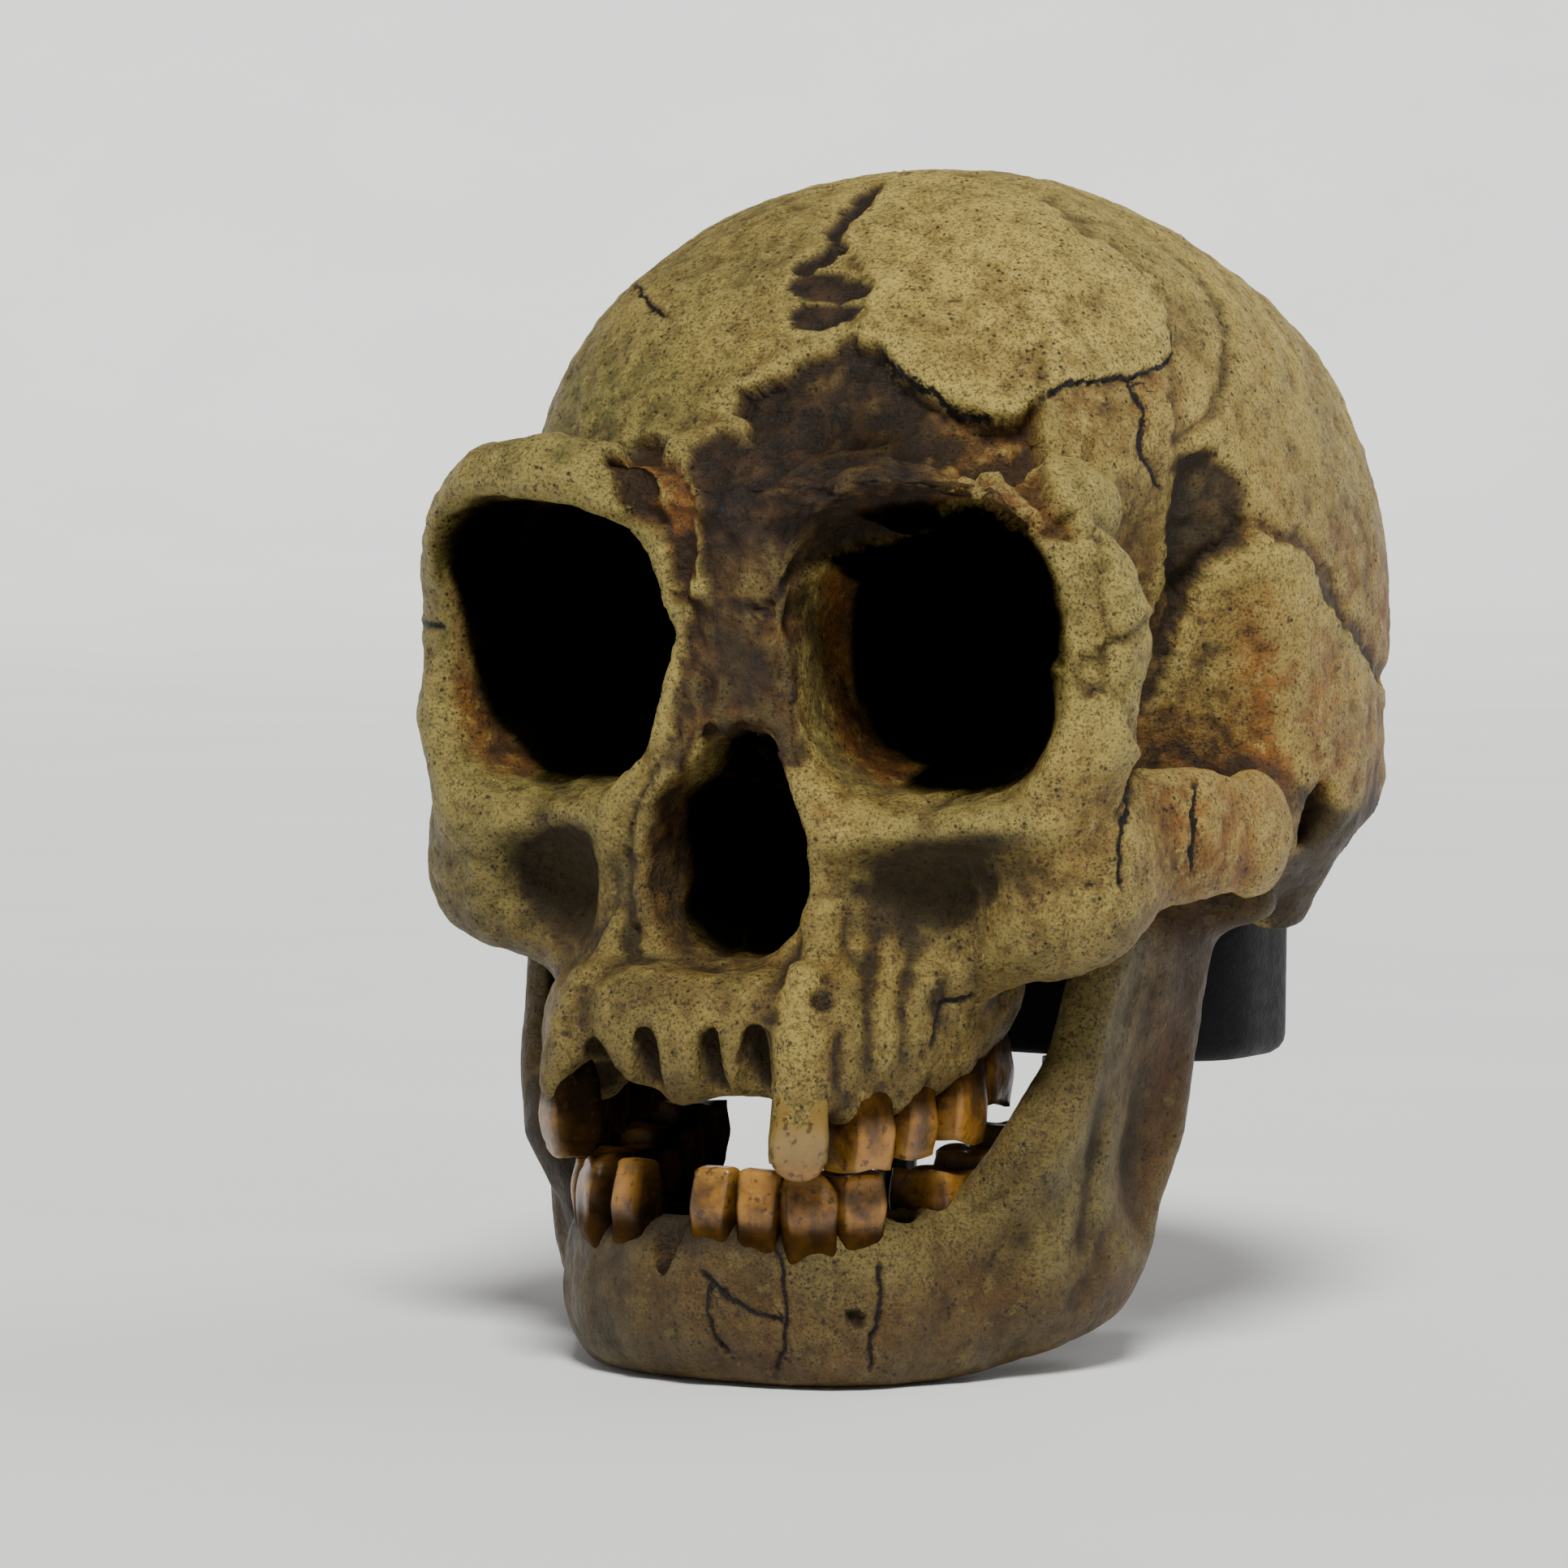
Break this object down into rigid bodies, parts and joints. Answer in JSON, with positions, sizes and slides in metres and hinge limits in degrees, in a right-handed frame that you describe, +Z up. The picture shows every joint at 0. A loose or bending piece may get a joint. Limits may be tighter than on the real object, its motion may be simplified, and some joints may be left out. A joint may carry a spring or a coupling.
{
  "type": "fossil hominin skull",
  "caption": "Small fossil hominin skull with its lower jaw, damaged brow and missing teeth, resting on its chin and a low dark stand.",
  "frame": {"origin": "middle of the footprint of the whole model, on the surface that it rests on", "axes": "+Z up, the face looks along -Y, +X is the skull's own left"},
  "size_m": [0.1144, 0.1456, 0.1576],
  "materials": {
    "bone": "aged fossil bone: tan and greenish cream, pitted, with dark brown breaks",
    "teeth": "amber-brown varnished tooth enamel",
    "stand_pad": "smooth blue-black foam block",
    "stand_metal": "black satin paint"
  },
  "bodies": {
    "root": {"frontal": "bone", "parietal_left": "bone", "parietal_right": "bone", "occipital": "bone", "temporal_left": "bone", "temporal_right": "bone", "sphenoid": "bone", "zygomatic_left": "bone", "zygomatic_right": "bone", "maxilla": "bone", "mandible": "bone", "stand_block": "stand_pad", "stand_rod_left": "stand_metal", "stand_rod_right": "stand_metal", "stand_base": "stand_metal"}
  },
  "joints": []
}
